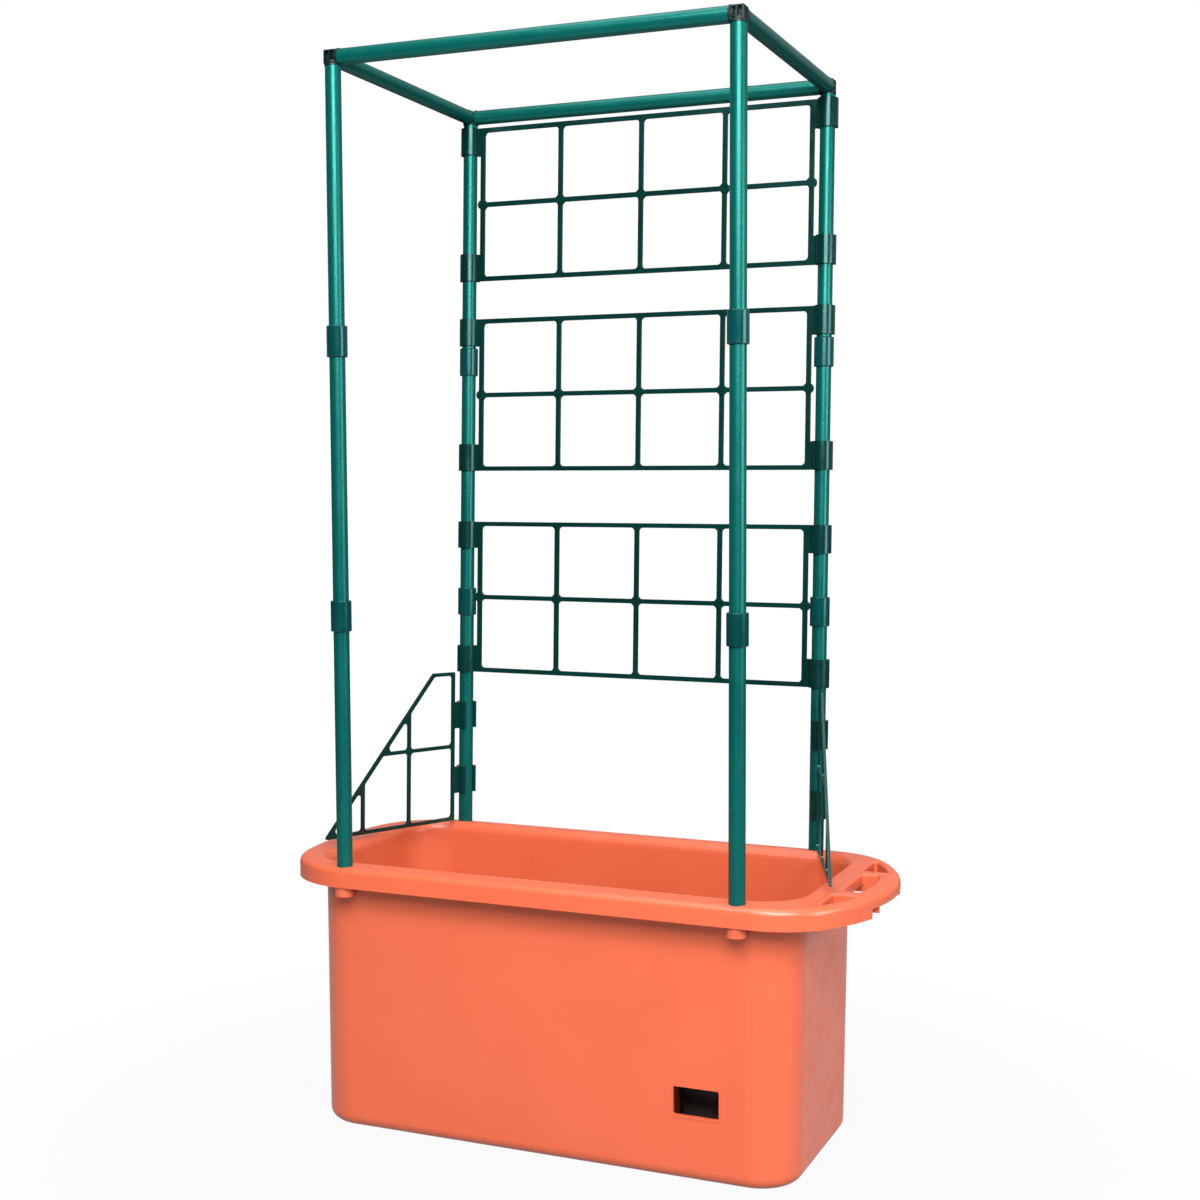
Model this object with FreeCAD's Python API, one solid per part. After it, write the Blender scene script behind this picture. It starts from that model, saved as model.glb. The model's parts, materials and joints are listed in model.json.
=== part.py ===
import FreeCAD, Part
import os
from math import asin, atan, atan2, cos, degrees, radians, sin, sqrt, tan

# Vertical planter: a self-watering tub that carries a tower of tubes, with panels snapped on its posts.
# Millimetres, +Z up, +X to the right along the front, +Y to the back, zero at the middle of the tub's base.

Vector = FreeCAD.Vector
X_AXIS = Vector(1, 0, 0)
Y_AXIS = Vector(0, 1, 0)
Z_AXIS = Vector(0, 0, 1)

# Tub body, measured outside
tub_height = 333.0
tub_base_length = 614.0
tub_base_width = 276.0
tub_top_length = 620.0
tub_top_width = 286.0
tub_base_corner = 52.0
tub_top_corner = 56.0
base_edge_radius = 14.0
tub_wall = 3.2
tub_floor = 4.0

# Curl that turns the top of the wall outwards into the lip
curl_radius = 14.0
curl_turn = 60.0
curl_steps = 4

# Rim: it slopes from the lip down to a ledge, with a skirt round its edge
ledge_drop = 1.5
ledge_land = 4.0
skirt_depth = 24.5
rim_overhang = 24.0
rim_edge_radius = 8.0
left_overhang = 42.0
left_end_radius = 450.0
left_corner_radius = 105.0
right_overhang = 73.0
right_end_radius = 235.0
right_corner_radius = 95.0

# Handle in the right end of the rim: a hand slot in the middle and a shorter slot on each side of it
bar_width = 25.0
side_bar_width = 14.0
grip_length = 136.0
grip_depth = 13.5
hand_slot_length = 96.0
hand_slot_land = 22.0
side_slot_length = 56.0
side_slot_land = 17.0
slot_bridge = 19.0
slot_collar_depth = 13.0
slot_corner_radius = 4.0
slot_edge_radius = 2.5
slot_edge_steps = 3
grip_rib_thickness = 3.0
grip_rib_depth = 21.5

# Window of the water space, low in the front wall
window_width = 55.0
window_height = 33.0
window_x = 196.5
window_bottom = 77.0
window_frame_width = 3.0
window_frame_proud = 0.8
window_corner_radius = 2.5

# False floor over the water space, with two wells that let the soil reach the water
grate_above_window = 6.0
grate_thickness = 3.0
grate_clearance = 1.5
well_spacing = 380.0
well_length = 100.0
well_width = 120.0
well_taper = 6.0
well_wall = 2.2
well_corner_radius = 12.0
foot_spacing_x = 252.0
foot_spacing_y = 200.0
foot_width = 22.0
foot_rib = 3.0
grate_slot_length = 64.0
grate_slot_width = 6.0
grate_slot_pitch_x = 80.0
grate_slot_pitch_y = 24.0
grate_slot_columns = 3
grate_slot_rows = 9

# Tower: the four posts stand in sockets and splay a little to the front and to the back
post_spacing = 500.0
socket_offset = 9.8
socket_depth = 34.5
socket_floor = 2.0
socket_wall = 2.4
tower_top_depth = 356.0
tube_diameter = 19.0
tube_wall = 1.2
tube_fit = 0.2

# Couplers that join the tubes of a post
coupler_length = 37.0
coupler_wall = 2.7
coupler_stop = 2.0
coupler_chamfer = 0.9

# Three-way connectors at the top corners
hub_size = 16.4
hub_edge_radius = 1.0
hub_flange = 1.6
hub_flange_overlap = 0.7
hub_flange_sink = 0.4
hub_stub_length = 26.0
hub_stub_fit = 0.15
hub_pocket_depth = 5.0
hub_pocket_wall = 2.0

# Snap clips and lattice corners of all panels
cell_corner_radius = 5.0
panel_corner_radius = 2.0
boss_proud = 0.8
clip_height = 36.0
clip_wall = 3.2
clip_fit = 0.3
clip_mouth = 112.0
clip_lip_radius = 2.1
clip_plate = 4.0

# Trellis panels between the back posts
trellis_bar_face = 6.0
trellis_bar_depth = 4.0
trellis_boss_diameter = 13.0
trellis_columns = 4
trellis_rows = 2
trellis_row_pitch = 100.0
trellis_boss_clearance = 0.5

# Fan-shaped side panels, one clipped to each back post
fan_flare = 19.5
fan_bar_face = 4.8
fan_bar_depth = 3.2
fan_boss_diameter = 9.0
fan_post_gap = 25.0
fan_column_pitch = 79.5
fan_row_pitch = 99.5
fan_top_length = 36.0
fan_reach = 242.0
fan_bottom = 5.0
fan_lower_clip = 58.0
fan_upper_clip = 147.0

# Gaps along a back post, upwards from the side panel's upper clip: to the lower trellis's lower clip,
# from that clip to the lower coupler, from trellis to trellis, from the upper coupler to the clip above it,
# and from the upper trellis to the corner connector
lower_trellis_gap = 41.5
lower_coupler_gap = 42.0
middle_trellis_gap = 69.5
upper_coupler_gap = 3.5
upper_trellis_gap = 51.5
connector_gap = 4.87

# Limits used while modelling: how far cutters pass a wall, which edges count as lying at a level,
# and the largest share of an edge that one rounded corner takes
cut_allowance = 9.0
level_tolerance = 0.8
corner_share = 0.4

# Values that follow from the sizes above
curl_out = curl_radius * (1 - cos(radians(curl_turn)))
curl_height = curl_radius * sin(radians(curl_turn))
lip_half_length = tub_top_length / 2 + curl_out
lip_half_width = tub_top_width / 2 + curl_out
ledge_z = tub_height - ledge_drop
skirt_z = ledge_z - skirt_depth
rim_slope_run = rim_overhang - rim_edge_radius - ledge_land
rim_half_width = lip_half_width + rim_overhang
left_reach = lip_half_length + left_overhang
right_reach = lip_half_length + right_overhang
socket_y = lip_half_width + socket_offset
post_x = post_spacing / 2
top_y = tower_top_depth / 2
tube_radius = tube_diameter / 2
tube_bore = tube_radius - tube_wall
socket_bottom = -(ledge_drop + socket_depth)
clip_bore = tube_radius + clip_fit
clip_outer = clip_bore + clip_wall
hub_reach = hub_size / 2 + hub_flange
grate_height = window_bottom + window_height + grate_above_window
coupler_radius = tube_radius + tube_fit + coupler_wall
trellis_side_gap = coupler_radius + trellis_boss_clearance + trellis_boss_diameter / 2
trellis_span = trellis_rows * trellis_row_pitch + trellis_bar_face
lower_trellis_low = fan_upper_clip + clip_height / 2 + lower_trellis_gap
lower_joint = lower_trellis_low + clip_height + lower_coupler_gap + coupler_length / 2
middle_trellis_low = lower_trellis_low + trellis_span + middle_trellis_gap
upper_trellis_low = middle_trellis_low + trellis_span + upper_trellis_gap
upper_joint = middle_trellis_low + trellis_span - clip_height - upper_coupler_gap - coupler_length / 2
post_length = upper_trellis_low + trellis_span + connector_gap + hub_reach
lean = asin((top_y - socket_y) / post_length)
tower_height = post_length * cos(lean)
corners = {
    "front_left": (-1, -1),
    "front_right": (1, -1),
    "back_left": (-1, 1),
    "back_right": (1, 1),
}


# Shared helpers


def closed_wire(edges):
    return Part.Wire(Part.__sortEdges__(edges))


def prism(wire, direction):
    return Part.Face(wire).extrude(direction)


def line(a, b):
    return Part.LineSegment(a, b).toShape()


def arc(a, middle, b):
    return Part.Arc(a, middle, b).toShape()


def fuse_all(shapes):
    return shapes[0].fuse(shapes[1:]).removeSplitter()


def rounded_rectangle(length, width, radius, z):
    """Wire in a level plane: a rectangle with its four corners rounded."""
    a = length / 2 - radius
    b = width / 2 - radius
    turn = radius * sqrt(0.5)
    edges = []
    for sx, sy in ((1, 1), (-1, 1), (-1, -1), (1, -1)):
        beside = Vector(sx * (a + radius), sy * b, z)
        middle = Vector(sx * (a + turn), sy * (b + turn), z)
        ahead = Vector(sx * a, sy * (b + radius), z)
        edges.append(arc(beside, middle, ahead))
    for s in (1, -1):
        edges.append(line(Vector(-a, s * (b + radius), z), Vector(a, s * (b + radius), z)))
        edges.append(line(Vector(s * (a + radius), -b, z), Vector(s * (a + radius), b, z)))
    return closed_wire(edges)


def rounded_polygon(points, radius):
    """Wire in the XZ plane through a polygon's corners, each rounded as far as its edges allow."""
    count = len(points)
    corner = [Vector(x, 0, z) for x, z in points]
    edges = []
    ends = []
    for i in range(count):
        to_last = corner[i - 1] - corner[i]
        to_next = corner[(i + 1) % count] - corner[i]
        half_angle = to_last.getAngle(to_next) / 2
        room = corner_share * min(to_last.Length, to_next.Length)
        run = min(radius / tan(half_angle), room)
        round_radius = run * tan(half_angle)
        first = corner[i] + to_last.normalize() * run
        last = corner[i] + to_next.normalize() * run
        inward = (to_last + to_next).normalize()
        middle = corner[i] + inward * (round_radius / sin(half_angle) - round_radius)
        edges.append(arc(first, middle, last))
        ends.append((first, last))
    for i in range(count):
        edges.append(line(ends[i - 1][1], ends[i][0]))
    return closed_wire(edges)


def inset_polygon(points, distance):
    """Points of a convex counter-clockwise polygon with every edge moved inwards by distance."""
    count = len(points)
    moved = []
    for i in range(count):
        (x0, z0), (x1, z1) = points[i], points[(i + 1) % count]
        length = sqrt((x1 - x0) ** 2 + (z1 - z0) ** 2)
        ux, uz = (x1 - x0) / length, (z1 - z0) / length
        moved.append((x0 - uz * distance, z0 + ux * distance, ux, uz))
    result = []
    for i in range(count):
        xa, za, ua, va = moved[i - 1]
        xb, zb, ub, vb = moved[i]
        along = ((xb - xa) * vb - (zb - za) * ub) / (ua * vb - va * ub)
        result.append((xa + along * ua, za + along * va))
    return result


def clip_polygon(points, start, end):
    """The part of a polygon that lies to the left of the line from start to end."""

    def side(p):
        return (end[0] - start[0]) * (p[1] - start[1]) - (end[1] - start[1]) * (p[0] - start[0])

    kept = []
    for i in range(len(points)):
        here = points[i - 1]
        there = points[i]
        if side(here) >= 0:
            kept.append(here)
        if side(here) * side(there) < 0:
            share = side(here) / (side(here) - side(there))
            kept.append((here[0] + share * (there[0] - here[0]), here[1] + share * (there[1] - here[1])))
    return kept


def post_placement(sx, sy):
    """Where a post stands: its own axis is Z, with zero at the height of the lip."""
    base = Vector(sx * post_x, sy * socket_y, tub_height)
    return FreeCAD.Placement(base, FreeCAD.Rotation(X_AXIS, -sy * degrees(lean)))


def on_post(shape, sx, sy):
    placed = shape.copy()
    placed.Placement = post_placement(sx, sy).multiply(placed.Placement)
    return placed


def rod(radius, low, high):
    return Part.makeCylinder(radius, high - low, Vector(0, 0, low))


# Tub


def body_wire(z, inset):
    """Outline of the tapered body at a height, drawn in by inset, with the curl above its start."""
    curl_start = tub_height - curl_height
    share = min(z, curl_start) / curl_start
    out = 0.0
    if z > curl_start:
        turned = asin(min(1.0, (z - curl_start) / curl_radius))
        out = curl_radius * (1 - cos(turned))
    length = tub_base_length + share * (tub_top_length - tub_base_length)
    width = tub_base_width + share * (tub_top_width - tub_base_width)
    radius = tub_base_corner + share * (tub_top_corner - tub_base_corner)
    grow = 2 * (out - inset)
    return rounded_rectangle(length + grow, width + grow, radius + out - inset, z)


def body_solid(bottom, inset, edge_radius, extra_top):
    """Tapered body from a height up to the lip, its bottom edge rounded."""
    heights = [bottom, tub_height - curl_height]
    for step in range(1, curl_steps + 1):
        turned = radians(curl_turn * step / curl_steps)
        heights.append(tub_height - curl_height + curl_radius * sin(turned))
    solid = Part.makeLoft([body_wire(z, inset) for z in heights], True, True)
    low_edges = [e for e in solid.Edges if e.BoundBox.ZMax < bottom + level_tolerance]
    solid = solid.makeFillet(edge_radius, low_edges)
    if extra_top:
        solid = solid.fuse(prism(body_wire(tub_height, inset), Z_AXIS * extra_top))
    return solid


def rim_outline(inset, z):
    """Outline of the rim, drawn in by inset: two straight sides and two bowed ends."""
    edges = []
    side_ends = []
    ends = (
        (-1, left_reach, left_end_radius, left_corner_radius),
        (1, right_reach, right_end_radius, right_corner_radius),
    )
    for sx, reach, end_radius, corner_radius in ends:
        end_x = reach - end_radius
        corner_y = rim_half_width - corner_radius
        corner_x = end_x + sqrt((end_radius - corner_radius) ** 2 - corner_y ** 2)
        meet = atan2(corner_y, corner_x - end_x)
        middle = (meet + radians(90)) / 2
        r = corner_radius - inset
        for sy in (-1, 1):
            centre = Vector(sx * corner_x, sy * corner_y, z)
            straight = centre + Vector(0, sy * r, 0)
            bend = centre + Vector(sx * r * cos(middle), sy * r * sin(middle), 0)
            tangent = centre + Vector(sx * r * cos(meet), sy * r * sin(meet), 0)
            edges.append(arc(straight, bend, tangent))
            side_ends.append(straight)
            if sy < 0:
                low_tangent = tangent
        edges.append(arc(low_tangent, Vector(sx * (reach - inset), 0, z), tangent))
    edges.append(line(side_ends[0], side_ends[2]))
    edges.append(line(side_ends[1], side_ends[3]))
    return closed_wire(edges)


def handle_slots(grow, bottom, top):
    """Prisms of the handle's slots, widened all round by grow: the hand slot and one on each side."""
    bow_centre = Vector(right_reach - right_end_radius, 0, bottom)
    side_start = hand_slot_length / 2 + slot_bridge
    spans = (
        (hand_slot_land, bar_width, -hand_slot_length / 2, hand_slot_length / 2),
        (side_slot_land, side_bar_width, side_start, side_start + side_slot_length),
        (side_slot_land, side_bar_width, -side_start - side_slot_length, -side_start),
    )
    slots = []
    for land, bar, low, high in spans:
        bow = Part.makeCylinder(right_end_radius - bar + grow, top - bottom, bow_centre)
        corner = Vector(lip_half_length + land - grow, low - grow, bottom)
        slot = Part.makeBox(right_reach, high - low + 2 * grow, top - bottom, corner).common(bow)
        upright = [e for e in slot.Edges if e.BoundBox.ZLength > (top - bottom) / 2]
        narrow = min(e.Length for e in slot.Edges if e.BoundBox.ZLength < (top - bottom) / 2)
        slots.append(slot.makeFillet(min(slot_corner_radius + grow, corner_share * narrow), upright))
    return slots


def slot_outlines(grow, z):
    """Outlines of the handle's slots at a height."""
    wires = []
    for slot in handle_slots(grow, z, z + cut_allowance):
        bottom = [f for f in slot.Faces if f.BoundBox.ZMax < z + level_tolerance]
        wires.append(bottom[0].OuterWire)
    return wires


def slot_mouths():
    """Cutters that round the top edges of the handle's slots, open above the ledge."""
    outlines = []
    for step in range(slot_edge_steps + 1):
        turned = radians(90 * step / slot_edge_steps)
        z = ledge_z - slot_edge_radius * (1 - sin(turned))
        outlines.append(slot_outlines(slot_edge_radius * (1 - cos(turned)), z))
    outlines.append(slot_outlines(slot_edge_radius, tub_height))
    return [Part.makeLoft(list(wires), True, True) for wires in zip(*outlines)]


def rim_slope():
    """Filled slope from the lip out and down to the ledge."""
    wide = body_wire(tub_height, -rim_slope_run)
    foot = wide.translated(Z_AXIS * -ledge_drop)
    sunk = wide.translated(Z_AXIS * -(ledge_drop + tub_wall / 2))
    return Part.makeLoft([sunk, foot, body_wire(tub_height, 0)], True, True)


def rim_shell():
    """Ledge with its skirt, open below, with the handle's slots, collars and ribs."""
    block = prism(rim_outline(0, skirt_z), Z_AXIS * skirt_depth)
    top_edges = [e for e in block.Edges if e.BoundBox.ZMin > ledge_z - level_tolerance]
    block = block.makeFillet(rim_edge_radius, top_edges)
    hollow = prism(rim_outline(tub_wall, skirt_z), Z_AXIS * (skirt_depth - tub_wall))
    hollow_edges = [e for e in hollow.Edges if e.BoundBox.ZMin > ledge_z - tub_wall - level_tolerance]
    hollow = hollow.makeFillet(rim_edge_radius - tub_wall, hollow_edges)
    shell = block.cut(hollow)

    finger_room = Part.makeBox(right_overhang, grip_length, skirt_depth - grip_depth)
    finger_room.translate(Vector(lip_half_length + hand_slot_land, -grip_length / 2, skirt_z))
    shell = shell.cut(finger_room)

    within = prism(rim_outline(tub_wall / 2, skirt_z), Z_AXIS * (skirt_depth - tub_wall / 2))
    added = handle_slots(tub_wall, ledge_z - slot_collar_depth, ledge_z)
    for sy in (-1, 1):
        rib = Part.makeBox(right_reach, grip_rib_thickness, grip_rib_depth)
        rib_y = sy * (hand_slot_length + grip_rib_thickness) / 2 - grip_rib_thickness / 2
        rib.translate(Vector(tub_top_length / 2 - tub_wall, rib_y, ledge_z - grip_rib_depth))
        added.append(rib.common(within))
    shell = shell.fuse(added + [rim_slope()])
    return shell.cut(handle_slots(0, skirt_z - cut_allowance, tub_height) + slot_mouths())


def window_prism(grow, behind, front):
    """Prism square to the sloping front wall at the window, widened by grow."""
    middle_z = window_bottom + window_height / 2
    share = middle_z / (tub_height - curl_height)
    wall_y = -(tub_base_width + share * (tub_top_width - tub_base_width)) / 2
    slope = degrees(atan((tub_top_width - tub_base_width) / 2 / (tub_height - curl_height)))
    half_w = window_width / 2 + grow
    half_h = window_height / 2 + grow
    outline = [(-half_w, -half_h), (half_w, -half_h), (half_w, half_h), (-half_w, half_h)]
    solid = prism(rounded_polygon(outline, window_corner_radius + grow), Y_AXIS * (behind + front))
    solid.translate(Y_AXIS * -front)
    solid.Placement = FreeCAD.Placement(
        Vector(window_x, wall_y, middle_z), FreeCAD.Rotation(X_AXIS, slope)
    ).multiply(solid.Placement)
    return solid


def planter_tub():
    outside = body_solid(0, 0, base_edge_radius, 0)
    pieces = [outside, rim_shell(), window_prism(window_frame_width, tub_wall / 2, window_frame_proud)]
    bore = tube_radius + tube_fit
    for sx, sy in corners.values():
        boss = rod(bore + socket_wall, socket_bottom - socket_floor, -ledge_drop - tub_wall / 2)
        pieces.append(on_post(boss, sx, sy))
    tub = pieces[0].fuse(pieces[1:])
    tub = tub.cut(body_solid(tub_floor, tub_wall, base_edge_radius - tub_wall, tub_wall))
    tub = tub.cut(window_prism(0, cut_allowance, cut_allowance))
    for sx, sy in corners.values():
        tub = tub.cut(on_post(rod(bore, socket_bottom, cut_allowance), sx, sy))
    return tub.removeSplitter()


def well_solid(inset, bottom):
    """Tapered well, drawn in by inset, from a height up to the top of the false floor."""
    radius = well_corner_radius - inset
    foot = rounded_rectangle(
        well_length - 2 * (well_taper + inset), well_width - 2 * (well_taper + inset), radius, bottom
    )
    mouth = rounded_rectangle(well_length - 2 * inset, well_width - 2 * inset, radius, grate_height)
    return Part.makeLoft([foot, mouth], True, True)


def grate_slot():
    low = grate_height - grate_thickness
    half = (grate_slot_length - grate_slot_width) / 2
    radius = grate_slot_width / 2
    slot = Part.makeBox(2 * half, grate_slot_width, grate_thickness, Vector(-half, -radius, low))
    rounds = [Part.makeCylinder(radius, grate_thickness, Vector(x, 0, low)) for x in (-half, half)]
    return slot.fuse(rounds).removeSplitter()


def soil_grate():
    """Slotted plate that stands on two hollow wells and four ribbed feet."""
    low = grate_height - grate_thickness
    plate = prism(body_wire(low, tub_wall + grate_clearance), Z_AXIS * grate_thickness)
    added = []
    removed = []
    for sx in (-1, 1):
        place = Vector(sx * well_spacing / 2, 0, 0)
        added.append(well_solid(0, tub_floor).translated(place))
        removed.append(well_solid(well_wall, tub_floor + well_wall).translated(place))
        for sy in (-1, 1):
            centre = Vector(sx * foot_spacing_x / 2, sy * foot_spacing_y / 2, tub_floor)
            for wide, deep in ((foot_width, foot_rib), (foot_rib, foot_width)):
                corner = centre - Vector(wide / 2, deep / 2, 0)
                added.append(Part.makeBox(wide, deep, low - tub_floor, corner))
    slot = grate_slot()
    for i in range(grate_slot_columns):
        for j in range(grate_slot_rows):
            x = (i - (grate_slot_columns - 1) / 2) * grate_slot_pitch_x
            y = (j - (grate_slot_rows - 1) / 2) * grate_slot_pitch_y
            removed.append(slot.translated(Vector(x, y, 0)))
    return plate.fuse(added).cut(removed).removeSplitter()


# Tower of tubes


def tube(low, high):
    return rod(tube_radius, low, high).cut(rod(tube_bore, low, high))


def post_tubes():
    """The three tubes of a post, from the socket's floor up to the corner connector."""
    half_stop = coupler_stop / 2
    spans = {
        "lower": (socket_bottom, lower_joint - half_stop),
        "middle": (lower_joint + half_stop, upper_joint - half_stop),
        "upper": (upper_joint + half_stop, post_length - hub_reach - tube_fit),
    }
    return {name: tube(low, high) for name, (low, high) in spans.items()}


def coupler():
    """Sleeve over a joint of two tubes, with a stop ring inside."""
    half = coupler_length / 2
    bore = tube_radius + tube_fit
    sleeve = rod(coupler_radius, -half, half)
    sleeve = sleeve.makeChamfer(coupler_chamfer, [e for e in sleeve.Edges if e.BoundBox.ZLength < half])
    stop = coupler_stop / 2
    return sleeve.cut([rod(bore, -half, -stop), rod(tube_bore, -stop, stop), rod(bore, stop, half)])


def top_tube(length, axis):
    solid = tube(-length / 2, length / 2)
    solid.Placement = FreeCAD.Placement(Vector(0, 0, 0), FreeCAD.Rotation(Z_AXIS, axis))
    return solid


def corner_connector(sx, sy):
    """Cored block with three flanged stubs: two level ones, and one down the leaning post."""
    half = hub_size / 2
    centre = Vector(sx * post_x, sy * top_y, tub_height + tower_height)
    hub = Part.makeBox(hub_size, hub_size, hub_size, centre - Vector(half, half, half))
    hub = hub.makeFillet(hub_edge_radius, hub.Edges)
    pocket_width = (hub_size - 3 * hub_pocket_wall) / 2
    pocket_height = hub_size - 2 * hub_pocket_wall
    pockets = []
    for side in (-1, 1):
        across = side * (pocket_width + hub_pocket_wall) / 2 - pocket_width / 2
        in_front = Part.makeBox(pocket_width, hub_pocket_depth, pocket_height)
        front_y = sy * (half - hub_pocket_depth / 2) - hub_pocket_depth / 2
        pockets.append(in_front.translated(centre + Vector(across, front_y, -pocket_height / 2)))
    beside_width = hub_size - hub_pocket_depth - 2 * hub_pocket_wall
    beside = Part.makeBox(hub_pocket_depth, beside_width, pocket_height)
    beside_x = sx * (half - hub_pocket_depth / 2) - hub_pocket_depth / 2
    beside_y = -sy * (half - hub_pocket_wall - beside_width / 2) - beside_width / 2
    pockets.append(beside.translated(centre + Vector(beside_x, beside_y, -pocket_height / 2)))
    hub = hub.cut(pockets)
    stub = rod(tube_bore - hub_stub_fit, -hub_reach - hub_stub_length, -half / 2)
    flange = rod(tube_radius + hub_flange_overlap, -hub_reach, hub_flange_sink - half)
    plug = stub.fuse(flange).removeSplitter()
    level_x = plug.copy()
    level_x.rotate(Vector(0, 0, 0), Y_AXIS, sx * 90)
    level_y = plug.copy()
    level_y.rotate(Vector(0, 0, 0), X_AXIS, -sy * 90)
    down = on_post(plug.translated(Z_AXIS * post_length), sx, sy)
    return hub.fuse([level_x.translated(centre), level_y.translated(centre), down]).removeSplitter()


# Panels


def bar_panel(outline, columns, rows, nodes, face, depth, boss):
    """Flat moulded lattice: bars along a convex outline and along the inner columns and rows.

    The outline runs counter-clockwise through the centre lines of the outer bars, in the XZ plane.
    """
    half = face / 2
    edge = rounded_polygon(inset_polygon(outline, -half), panel_corner_radius)
    solid = prism(edge, Y_AXIS * depth)
    cells = []
    for x0, x1 in zip(columns, columns[1:]):
        for z0, z1 in zip(rows, rows[1:]):
            cell = [(x0, z0), (x1, z0), (x1, z1), (x0, z1)]
            for i in range(len(outline)):
                cell = clip_polygon(cell, outline[i - 1], outline[i])
            if len(cell) > 2:
                wire = rounded_polygon(inset_polygon(cell, half), cell_corner_radius)
                cells.append(prism(wire, Y_AXIS * depth))
    solid = solid.cut(cells)
    bosses = []
    for x, z in nodes:
        start = Vector(x, -boss_proud, z)
        bosses.append(Part.makeCylinder(boss / 2, depth + 2 * boss_proud, start, Y_AXIS))
    solid = solid.fuse(bosses)
    solid.translate(Y_AXIS * (-depth / 2))
    return solid


def snap_clip(reach):
    """C-shaped clip round a post on the Z axis, its mouth towards -Y and its plate towards +X."""
    ring = rod(clip_outer, 0, clip_height).cut(rod(clip_bore, 0, clip_height))
    half_mouth = radians(clip_mouth / 2)
    far = -(clip_outer + cut_allowance)
    wide = far * tan(half_mouth)
    corner = [Vector(0, 0, 0), Vector(wide, far, 0), Vector(-wide, far, 0), Vector(0, 0, 0)]
    ring = ring.cut(prism(Part.makePolygon(corner), Z_AXIS * clip_height))
    lip_at = clip_bore + clip_lip_radius
    pieces = []
    for s in (-1, 1):
        place = Vector(s * lip_at * sin(half_mouth), -lip_at * cos(half_mouth), 0)
        pieces.append(Part.makeCylinder(clip_lip_radius, clip_height, place))
    start = clip_bore + clip_wall / 2
    plate = Part.makeBox(reach - start, clip_plate, clip_height, Vector(start, -clip_plate / 2, 0))
    pieces.append(plate.cut(rod(clip_bore, 0, clip_height)))
    return ring.fuse(pieces).removeSplitter()


def trellis_panel(low):
    """Grid between the back posts, with a clip at each corner that opens to the back."""
    half_width = post_x - trellis_side_gap
    pitch = 2 * half_width / trellis_columns
    columns = [-half_width + pitch * i for i in range(trellis_columns + 1)]
    half_face = trellis_bar_face / 2
    bottom = low + half_face
    top = low + trellis_span - half_face
    rows = [bottom + trellis_row_pitch * i for i in range(trellis_rows + 1)]
    outline = [(-half_width, bottom), (half_width, bottom), (half_width, top), (-half_width, top)]
    nodes = [(x, z) for x in columns for z in rows[1:-1]]
    grid = bar_panel(
        outline, columns, rows, nodes, trellis_bar_face, trellis_bar_depth, trellis_boss_diameter
    )
    pieces = [grid]
    clip = snap_clip(trellis_side_gap).mirror(Vector(0, 0, 0), Y_AXIS)
    for clip_low in (low, low + trellis_span - clip_height):
        pieces.append(clip.translated(Vector(-post_x, 0, clip_low)))
        pieces.append(clip.mirror(Vector(0, 0, 0), X_AXIS).translated(Vector(post_x, 0, clip_low)))
    panel = fuse_all(pieces)
    panel.Placement = FreeCAD.Placement(
        Vector(0, socket_y, tub_height), FreeCAD.Rotation(X_AXIS, -degrees(lean))
    ).multiply(panel.Placement)
    return panel


def fan_panel(sx):
    """Fan clipped to a back post, flared outwards over the tub's end, its clips open to the inside."""
    top = fan_bottom + 2 * fan_row_pitch
    near = fan_post_gap
    outline = [(near, fan_bottom), (fan_reach, fan_bottom), (near + fan_top_length, top), (near, top)]
    columns = [near, near + fan_column_pitch, near + 2 * fan_column_pitch, fan_reach]
    rows = [fan_bottom, fan_bottom + fan_row_pitch, top]
    nodes = [(columns[1], rows[1])]
    pieces = [bar_panel(outline, columns, rows, nodes, fan_bar_face, fan_bar_depth, fan_boss_diameter)]
    clip = snap_clip(fan_post_gap)
    for middle in (fan_lower_clip, fan_upper_clip):
        pieces.append(clip.translated(Vector(0, 0, middle - clip_height / 2)))
    panel = fuse_all(pieces)
    if sx < 0:
        panel = panel.mirror(Vector(0, 0, 0), Y_AXIS)
    panel.rotate(Vector(0, 0, 0), Z_AXIS, -90 + sx * fan_flare)
    return on_post(panel, sx, 1)


# Build every piece and write it out

nodes = {"planter_tub": planter_tub(), "soil_grate": soil_grate()}
tubes = post_tubes()
sleeve = coupler()
for corner, (sx, sy) in corners.items():
    for level, solid in tubes.items():
        nodes[corner + "_" + level + "_tube"] = on_post(solid, sx, sy)
    for level, height in (("lower", lower_joint), ("upper", upper_joint)):
        nodes[corner + "_" + level + "_coupler"] = on_post(sleeve.translated(Z_AXIS * height), sx, sy)
    nodes[corner + "_connector"] = corner_connector(sx, sy)
for name, sy in (("front", -1), ("back", 1)):
    bar = top_tube(post_spacing - 2 * hub_reach, X_AXIS)
    nodes["top_" + name + "_tube"] = bar.translated(Vector(0, sy * top_y, tub_height + tower_height))
for name, sx in (("left", -1), ("right", 1)):
    bar = top_tube(tower_top_depth - 2 * hub_reach, Y_AXIS)
    nodes["top_" + name + "_tube"] = bar.translated(Vector(sx * post_x, 0, tub_height + tower_height))
nodes["upper_trellis"] = trellis_panel(upper_trellis_low)
nodes["middle_trellis"] = trellis_panel(middle_trellis_low)
nodes["lower_trellis"] = trellis_panel(lower_trellis_low)
nodes["left_side_panel"] = fan_panel(-1)
nodes["right_side_panel"] = fan_panel(1)

os.makedirs("parts", exist_ok=True)
for name, shape in nodes.items():
    shape.exportStep("parts/" + name + ".step")
    print(name, "solids", len(shape.Solids), "valid", shape.isValid(), "cm3", round(shape.Volume / 1000, 1))
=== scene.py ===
import json
from math import cos, radians, sin

import bpy
from mathutils import Matrix, Vector

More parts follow.
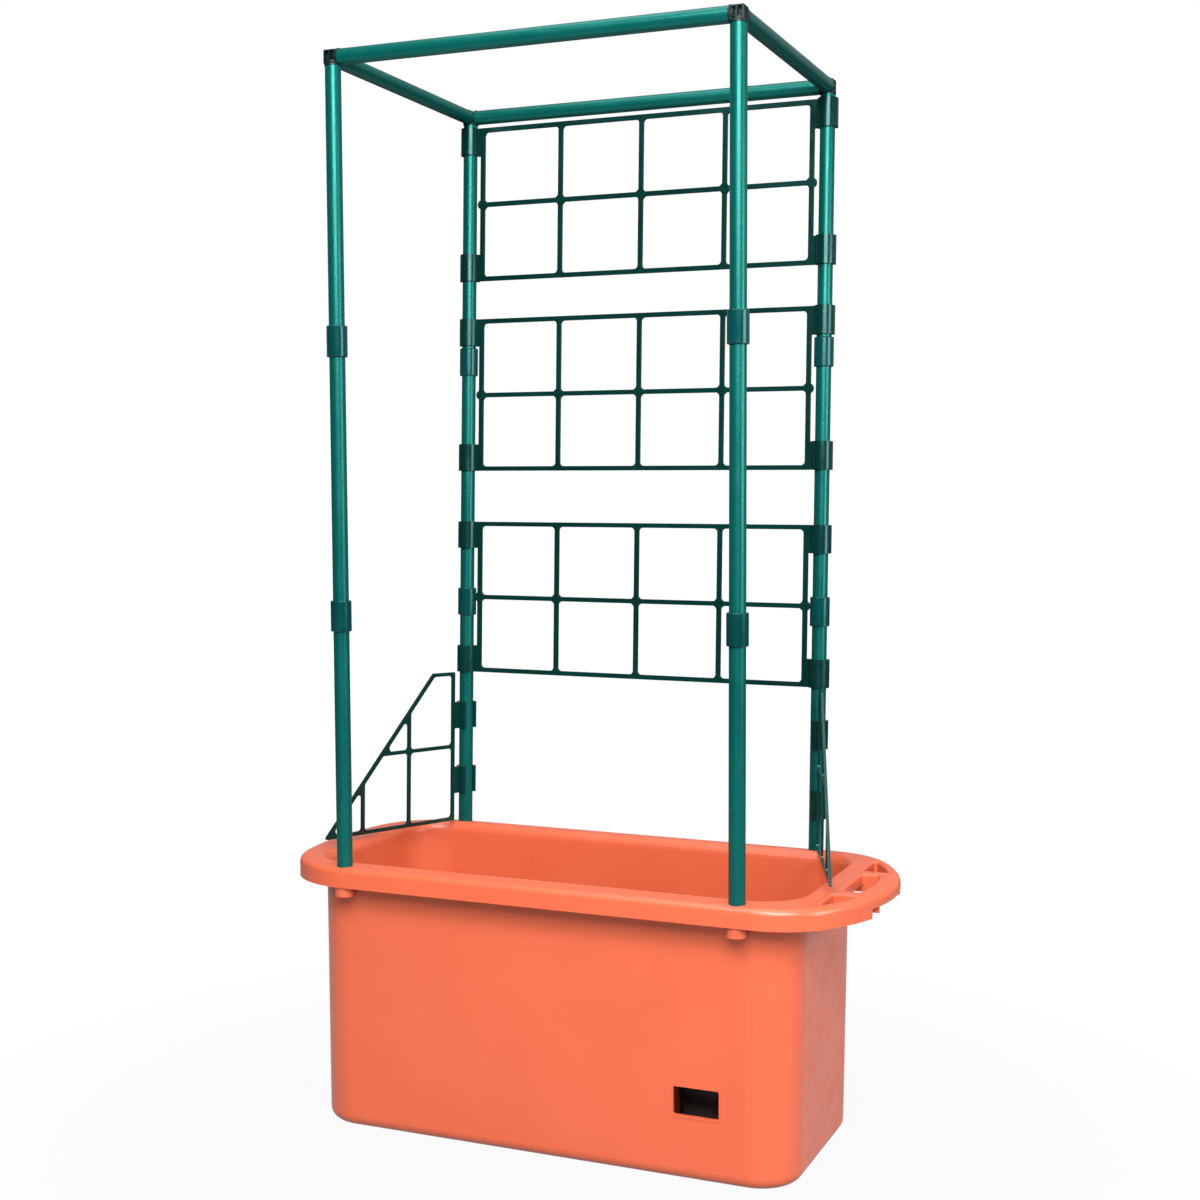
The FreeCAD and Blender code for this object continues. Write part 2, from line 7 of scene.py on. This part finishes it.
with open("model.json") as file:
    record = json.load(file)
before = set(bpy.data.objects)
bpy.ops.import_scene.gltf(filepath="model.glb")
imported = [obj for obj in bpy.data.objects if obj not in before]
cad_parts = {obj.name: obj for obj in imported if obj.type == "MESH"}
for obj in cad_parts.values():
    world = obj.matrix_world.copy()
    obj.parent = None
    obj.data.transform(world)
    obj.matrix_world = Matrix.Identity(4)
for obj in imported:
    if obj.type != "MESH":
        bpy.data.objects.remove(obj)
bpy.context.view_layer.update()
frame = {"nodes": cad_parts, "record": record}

# Tints of the reflections, linear like every colour here
WHITE_SHINE = (1, 1, 1)
TEAL_SHINE = (0.45, 0.95, 0.95)

# Moulded plastics by material slot, with the grain's depth in metres
PLASTICS = {
    "terracotta_plastic": {
        "deep": (0.600, 0.104, 0.042),
        "pale": (0.620, 0.111, 0.046),
        "roughness": (0.30, 0.40),
        "grain_depth": 0.0002,
        "specular": 0.65,
        "shine": WHITE_SHINE,
    },
    "black_plastic": {
        "deep": (0.050, 0.038, 0.036),
        "pale": (0.070, 0.054, 0.052),
        "roughness": (0.40, 0.55),
        "grain_depth": 0.0003,
        "specular": 0.5,
        "shine": WHITE_SHINE,
    },
    "coupler_plastic": {
        "deep": (0.001, 0.032, 0.031),
        "pale": (0.001, 0.042, 0.041),
        "roughness": (0.12, 0.20),
        "grain_depth": 0.00005,
        "specular": 0.5,
        "shine": TEAL_SHINE,
    },
    "connector_plastic": {
        "deep": (0.001, 0.010, 0.010),
        "pale": (0.002, 0.015, 0.015),
        "roughness": (0.36, 0.48),
        "grain_depth": 0.00005,
        "specular": 0.3,
        "shine": WHITE_SHINE,
    },
    "panel_plastic": {
        "deep": (0.001, 0.017, 0.014),
        "pale": (0.001, 0.024, 0.020),
        "roughness": (0.16, 0.28),
        "grain_depth": 0.00005,
        "specular": 0.5,
        "shine": TEAL_SHINE,
    },
}

# Coated tube
TUBE_DEEP = (0.001, 0.104, 0.089)
TUBE_PALE = (0.001, 0.118, 0.101)
TUBE_ROUGHNESS = (0.26, 0.36)
TUBE_METALLIC = 0.5
TUBE_SPECULAR = 0.3

# Surface patterns: cells per metre, and octaves of detail
PLASTIC_CLOUD = (9, 4)
PLASTIC_GLOSS = (34, 5)
MOULD_GRAIN = (900, 3)
MOULD_WAVE = (26, 2)
TUBE_CLOUD = (7, 3)
TUBE_GLOSS = (30, 4)
TUBE_PEEL = (420, 2)

# The part of a pattern's values that is spread over a whole range
CLOUD_SPAN = (0.35, 0.65)
GLOSS_SPAN = (0.3, 0.7)
WHOLE = (0, 1)

# Bumps, with depths in metres
GRAIN_STRENGTH = 0.35
WAVE_STRENGTH = 0.12
WAVE_DEPTH = 0.0012
PEEL_STRENGTH = 0.2
PEEL_DEPTH = 0.0003

# Colour sockets of a Mix node
MIX_FIRST = 6
MIX_SECOND = 7
MIX_RESULT = 2

# Floor, in metres
FLOOR_SIDE = 60.0
FLOOR_GAP = 0.0005
FLOOR_GREY = 0.10
FLOOR_ROUGHNESS = 0.9
FLOOR_SPECULAR = 0.05

# Plain white that the camera sees on the floor: its share, over a distance from the object
FADE_SPAN = (0.40, 0.9)
FADE_SHARE = (0.95, 1)

# White sheet under the object that reflections see: its share, over a distance from the object
SHEET_SPAN = (1.5, 2.0)
SHEET_SHARE = (0.6, 0)

# World: white to the camera, and on the object brighter from behind than from the front
BACKDROP = 1.0
AMBIENT_SPAN = (-0.3, 0.5)
AMBIENT_SHARE = (0.03, 0.70)
GLOSSY_SHARE = (1, 0.5)

# Soft boxes: place, aim and size in metres, power in watts
SOFT_BOXES = {
    "key": {"place": (1.0, -2.20, 1.90), "aim": (0.0, 0.0, 0.80), "size": (1.75, 1.25), "power": 106},
    "front": {"place": (0.1, -2.10, 2.65), "aim": (0.0, -0.15, 0.30), "size": (1.1, 0.7), "power": 46},
    "right": {"place": (2.2, -0.3, 1.0), "aim": (0.3, 0.0, 0.25), "size": (1.0, 1.0), "power": 24},
    "top": {"place": (0.0, -0.3, 3.2), "aim": (0.0, 0.0, 0.4), "size": (2.0, 2.0), "power": 36},
    "fill": {"place": (0.4, -2.40, 0.28), "aim": (0.0, -0.15, 0.20), "size": (1.6, 0.45), "power": 15},
    "back": {"place": (-0.3, 2.5, 0.55), "aim": (0.0, 0.0, 0.35), "size": (2.0, 0.8), "power": 45},
}
NOT_MIRRORED = ("fill", "back")

# Photograph's camera, in the CAD frame, with the lens and sensor in millimetres
CAMERA_PLACE = Vector((0.84653, -1.97568, 0.7794))
CAMERA_YAW = radians(22.7585)
CAMERA_PITCH = radians(3.3683)
CAMERA_ROLL = radians(0.2004)
CAMERA_LENS = 52.38
SENSOR = 36.0


# Nodes


def new_material(name):
    material = bpy.data.materials.new(name)
    material.use_nodes = True
    tree = material.node_tree
    return material, tree, tree.nodes["Principled BSDF"]


def noise(tree, pattern):
    """Noise over the piece's own coordinates, in metres."""
    scale, detail = pattern
    coordinates = tree.nodes.new("ShaderNodeTexCoord")
    texture = tree.nodes.new("ShaderNodeTexNoise")
    texture.inputs["Scale"].default_value = scale
    texture.inputs["Detail"].default_value = detail
    tree.links.new(coordinates.outputs["Object"], texture.inputs["Vector"])
    return texture.outputs["Fac"]


def remap(tree, value, span, result):
    node = tree.nodes.new("ShaderNodeMapRange")
    node.inputs["From Min"].default_value = span[0]
    node.inputs["From Max"].default_value = span[1]
    node.inputs["To Min"].default_value = result[0]
    node.inputs["To Max"].default_value = result[1]
    tree.links.new(value, node.inputs["Value"])
    return node.outputs["Result"]


def multiply(tree, first, second):
    node = tree.nodes.new("ShaderNodeMath")
    node.operation = "MULTIPLY"
    tree.links.new(first, node.inputs[0])
    tree.links.new(second, node.inputs[1])
    return node.outputs["Value"]


def mix_colour(tree, share, first, second):
    node = tree.nodes.new("ShaderNodeMix")
    node.data_type = "RGBA"
    tree.links.new(share, node.inputs["Factor"])
    node.inputs[MIX_FIRST].default_value = (*first, 1)
    node.inputs[MIX_SECOND].default_value = (*second, 1)
    return node.outputs[MIX_RESULT]


def bump(tree, height, strength, depth, under=None):
    node = tree.nodes.new("ShaderNodeBump")
    node.inputs["Strength"].default_value = strength
    node.inputs["Distance"].default_value = depth
    tree.links.new(height, node.inputs["Height"])
    if under is not None:
        tree.links.new(under, node.inputs["Normal"])
    return node.outputs["Normal"]


def ray_kind(tree, kind):
    return tree.nodes.new("ShaderNodeLightPath").outputs[kind]


# Materials of the pieces


def cloudy_finish(tree, shader, cloud, deep, pale, gloss, roughness):
    """Cloudy colour and uneven gloss."""
    share = remap(tree, noise(tree, cloud), CLOUD_SPAN, WHOLE)
    tree.links.new(mix_colour(tree, share, deep, pale), shader.inputs["Base Color"])
    rough = remap(tree, noise(tree, gloss), GLOSS_SPAN, roughness)
    tree.links.new(rough, shader.inputs["Roughness"])


def moulded_plastic(name, deep, pale, roughness, grain_depth, specular, shine):
    """Moulded plastic: a cloudy finish, a slight wave and a fine mould grain."""
    material, tree, shader = new_material(name)
    cloudy_finish(tree, shader, PLASTIC_CLOUD, deep, pale, PLASTIC_GLOSS, roughness)
    grain = bump(tree, noise(tree, MOULD_GRAIN), GRAIN_STRENGTH, grain_depth)
    wave = bump(tree, noise(tree, MOULD_WAVE), WAVE_STRENGTH, WAVE_DEPTH, grain)
    tree.links.new(wave, shader.inputs["Normal"])
    shader.inputs["Specular IOR Level"].default_value = specular
    shader.inputs["Specular Tint"].default_value = (*shine, 1)
    return material


def coated_tube():
    """Steel tube in a thin coat with a metallic sheen."""
    material, tree, shader = new_material("coated_tube")
    cloudy_finish(tree, shader, TUBE_CLOUD, TUBE_DEEP, TUBE_PALE, TUBE_GLOSS, TUBE_ROUGHNESS)
    peel = bump(tree, noise(tree, TUBE_PEEL), PEEL_STRENGTH, PEEL_DEPTH)
    tree.links.new(peel, shader.inputs["Normal"])
    shader.inputs["Metallic"].default_value = TUBE_METALLIC
    shader.inputs["Specular IOR Level"].default_value = TUBE_SPECULAR
    return material


materials = {slot: moulded_plastic(slot, **finish) for slot, finish in PLASTICS.items()}
materials["coated_tube"] = coated_tube()
for part in frame["record"]["subparts"]:
    piece_mesh = frame["nodes"][part["node"]].data
    piece_mesh.materials.clear()
    piece_mesh.materials.append(materials[part["material_slot"]])


# Floor


def white_over(tree, under, share):
    white = tree.nodes.new("ShaderNodeEmission")
    white.inputs["Strength"].default_value = BACKDROP
    mix = tree.nodes.new("ShaderNodeMixShader")
    tree.links.new(share, mix.inputs["Fac"])
    tree.links.new(under, mix.inputs[1])
    tree.links.new(white.outputs["Emission"], mix.inputs[2])
    return mix.outputs["Shader"]


def floor_material():
    """Pale floor that takes a little of the object's shadow and fades into the white backdrop."""
    material, tree, shader = new_material("pale_floor")
    shader.inputs["Base Color"].default_value = (FLOOR_GREY, FLOOR_GREY, FLOOR_GREY, 1)
    shader.inputs["Roughness"].default_value = FLOOR_ROUGHNESS
    shader.inputs["Specular IOR Level"].default_value = FLOOR_SPECULAR
    coordinates = tree.nodes.new("ShaderNodeTexCoord")
    distance = tree.nodes.new("ShaderNodeVectorMath")
    distance.operation = "LENGTH"
    tree.links.new(coordinates.outputs["Object"], distance.inputs[0])
    fade = remap(tree, distance.outputs["Value"], FADE_SPAN, FADE_SHARE)
    sheet = remap(tree, distance.outputs["Value"], SHEET_SPAN, SHEET_SHARE)
    mirrored = multiply(tree, sheet, ray_kind(tree, "Is Glossy Ray"))
    seen = multiply(tree, fade, ray_kind(tree, "Is Camera Ray"))
    surface = white_over(tree, white_over(tree, shader.outputs["BSDF"], mirrored), seen)
    tree.links.new(surface, tree.nodes["Material Output"].inputs["Surface"])
    return material


def add_floor():
    mesh = bpy.data.meshes.new("floor")
    side = FLOOR_SIDE
    corners = [(-side, -side, 0), (side, -side, 0), (side, side, 0), (-side, side, 0)]
    mesh.from_pydata(corners, [], [(0, 1, 2, 3)])
    mesh.materials.append(floor_material())
    floor = bpy.data.objects.new("floor", mesh)
    bpy.context.scene.collection.objects.link(floor)
    floor.location.z = -FLOOR_GAP


add_floor()


# Light


def soft_box(name, place, aim, size, power):
    light = bpy.data.lights.new(name, "AREA")
    light.shape = "RECTANGLE"
    light.size = size[0]
    light.size_y = size[1]
    light.energy = power
    lamp = bpy.data.objects.new(name, light)
    bpy.context.scene.collection.objects.link(lamp)
    lamp.location = place
    lamp.rotation_euler = (Vector(aim) - Vector(place)).to_track_quat("-Z", "Y").to_euler()
    lamp.visible_glossy = name not in NOT_MIRRORED


def studio_world():
    """White to the camera; on the object, the light of a white backdrop behind it."""
    world = bpy.data.worlds.new("studio")
    world.use_nodes = True
    tree = world.node_tree
    background = tree.nodes["Background"]
    background.inputs["Color"].default_value = (1, 1, 1, 1)
    direction = tree.nodes.new("ShaderNodeTexCoord").outputs["Generated"]
    split = tree.nodes.new("ShaderNodeSeparateXYZ")
    tree.links.new(direction, split.inputs["Vector"])
    around = remap(tree, split.outputs["Y"], AMBIENT_SPAN, AMBIENT_SHARE)
    mirrored = remap(tree, ray_kind(tree, "Is Glossy Ray"), WHOLE, GLOSSY_SHARE)
    strength = tree.nodes.new("ShaderNodeMix")
    tree.links.new(ray_kind(tree, "Is Camera Ray"), strength.inputs["Factor"])
    tree.links.new(multiply(tree, around, mirrored), strength.inputs["A"])
    strength.inputs["B"].default_value = BACKDROP
    tree.links.new(strength.outputs["Result"], background.inputs["Strength"])
    bpy.context.scene.world = world


studio_world()
for box_name, box in SOFT_BOXES.items():
    soft_box(box_name, **box)
bpy.context.scene.view_settings.view_transform = "Standard"


# Camera


def set_camera():
    forward = Vector(
        (
            -sin(CAMERA_YAW) * cos(CAMERA_PITCH),
            cos(CAMERA_YAW) * cos(CAMERA_PITCH),
            -sin(CAMERA_PITCH),
        )
    )
    level = Vector((cos(CAMERA_YAW), sin(CAMERA_YAW), 0))
    above = level.cross(forward)
    right = level * cos(CAMERA_ROLL) + above * sin(CAMERA_ROLL)
    up = above * cos(CAMERA_ROLL) - level * sin(CAMERA_ROLL)
    data = bpy.data.cameras.new("camera")
    data.sensor_fit = "HORIZONTAL"
    data.sensor_width = SENSOR
    data.lens = CAMERA_LENS
    camera = bpy.data.objects.new("camera", data)
    bpy.context.scene.collection.objects.link(camera)
    turn = Matrix((right, up, -forward)).transposed().to_4x4()
    camera.matrix_world = Matrix.Translation(CAMERA_PLACE) @ turn
    bpy.context.scene.camera = camera


set_camera()
